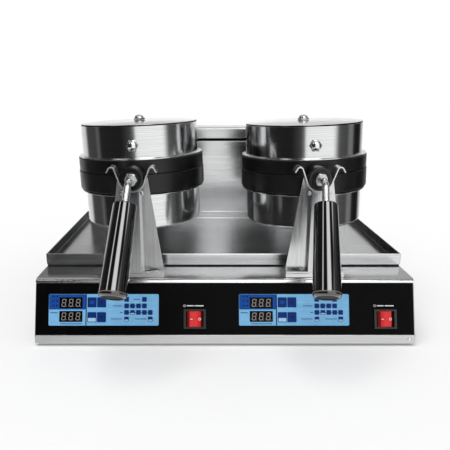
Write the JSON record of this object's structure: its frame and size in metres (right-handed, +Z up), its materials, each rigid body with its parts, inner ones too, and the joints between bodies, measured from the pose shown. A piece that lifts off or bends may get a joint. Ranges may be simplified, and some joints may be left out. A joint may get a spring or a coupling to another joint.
{
  "type": "waffle cone maker",
  "caption": "Countertop twin waffle cone maker: round baking heads that turn over in front cradles above a drip tray, with a sloping control fascia.",
  "frame": {"origin": "on the floor, below the middle of the whole machine's box, from the grips' ends to the cord gland", "axes": "+X to the operator's right, +Y to the back, +Z up"},
  "size_m": [0.58, 0.5988, 0.3392],
  "materials": {
    "steel": "brushed stainless sheet",
    "cradle_steel": "satin stainless strip",
    "chrome": "polished",
    "cast_black": "satin black coated casting",
    "grip_black": "glossy black moulding",
    "fascia_black": "semi-gloss black panel",
    "film_blue": "printed membrane film",
    "circuit_board": "green circuit board",
    "switch_black": "black moulding",
    "switch_red": "red moulding",
    "rubber": "matt",
    "plate_metal": "seasoned cast baking plate",
    "element_metal": "heat-dulled sheath",
    "insulator": "cream moulding"
  },
  "bodies": {
    "base": {"base_housing": "steel", "bottom_plate": "steel", "front_left_foot": "rubber", "front_right_foot": "rubber", "rear_left_foot": "rubber", "rear_right_foot": "rubber", "control_fascia": "fascia_black", "left_keypad": "film_blue", "left_control_board": "circuit_board", "left_switch_body": "switch_black", "right_keypad": "film_blue", "right_control_board": "circuit_board", "right_switch_body": "switch_black", "tray_seal": "rubber", "drip_tray": "steel", "rear_housing": "steel", "rear_cap": "steel", "rear_cover": "steel", "cord_gland": "switch_black", "terminal_block": "insulator", "left_bracket_pad": "steel", "left_bracket": "steel", "left_cradle": "cradle_steel", "left_bearing_block": "cast_black", "right_bracket_pad": "steel", "right_bracket": "steel", "right_cradle": "cradle_steel", "right_bearing_block": "cast_black"},
    "left_head": {"left_lower_casing": "steel", "left_lower_ring": "cast_black", "left_lower_plate": "plate_metal", "left_lower_element": "element_metal", "left_hinge_pin": "chrome", "left_spindle": "chrome"},
    "left_lid": {"left_upper_casing": "steel", "left_upper_ring": "cast_black", "left_upper_plate": "plate_metal", "left_upper_element": "element_metal", "left_top_nut": "chrome", "left_front_nut": "chrome", "left_lock_nut": "chrome", "left_handle_rod": "chrome", "left_grip": "grip_black"},
    "left_rocker": {"left_switch_rocker": "switch_red"},
    "right_head": {"right_lower_casing": "steel", "right_lower_ring": "cast_black", "right_lower_plate": "plate_metal", "right_lower_element": "element_metal", "right_hinge_pin": "chrome", "right_spindle": "chrome"},
    "right_lid": {"right_upper_casing": "steel", "right_upper_ring": "cast_black", "right_upper_plate": "plate_metal", "right_upper_element": "element_metal", "right_top_nut": "chrome", "right_front_nut": "chrome", "right_lock_nut": "chrome", "right_handle_rod": "chrome", "right_grip": "grip_black"},
    "right_rocker": {"right_switch_rocker": "switch_red"}
  },
  "joints": [
    {"name": "left_turn", "type": "hinge", "parent": "base", "child": "left_head", "pos_m": [-0.13851, -0.01932, 0.25295], "axis": [0, -1, 0], "range_deg": [-2, 178]},
    {"name": "left_lid_hinge", "type": "hinge", "parent": "left_head", "child": "left_lid", "pos_m": [-0.13935, 0.10118, 0.27694], "axis": [0.9994, 0, 0.0349], "range_deg": [-95, 0]},
    {"name": "left_switch", "type": "hinge", "parent": "base", "child": "left_rocker", "pos_m": [-0.0461, -0.18166, 0.04122], "axis": [0, 0.319, 0.9478], "range_deg": [-16, 0]},
    {"name": "right_turn", "type": "hinge", "parent": "base", "child": "right_head", "pos_m": [0.13851, -0.01932, 0.25295], "axis": [0, -1, 0], "range_deg": [-2, 178]},
    {"name": "right_lid_hinge", "type": "hinge", "parent": "right_head", "child": "right_lid", "pos_m": [0.13768, 0.10118, 0.27694], "axis": [0.9994, 0, 0.0349], "range_deg": [-95, 0]},
    {"name": "right_switch", "type": "hinge", "parent": "base", "child": "right_rocker", "pos_m": [0.2439, -0.18166, 0.04122], "axis": [0, 0.319, 0.9478], "range_deg": [-16, 0]}
  ]
}
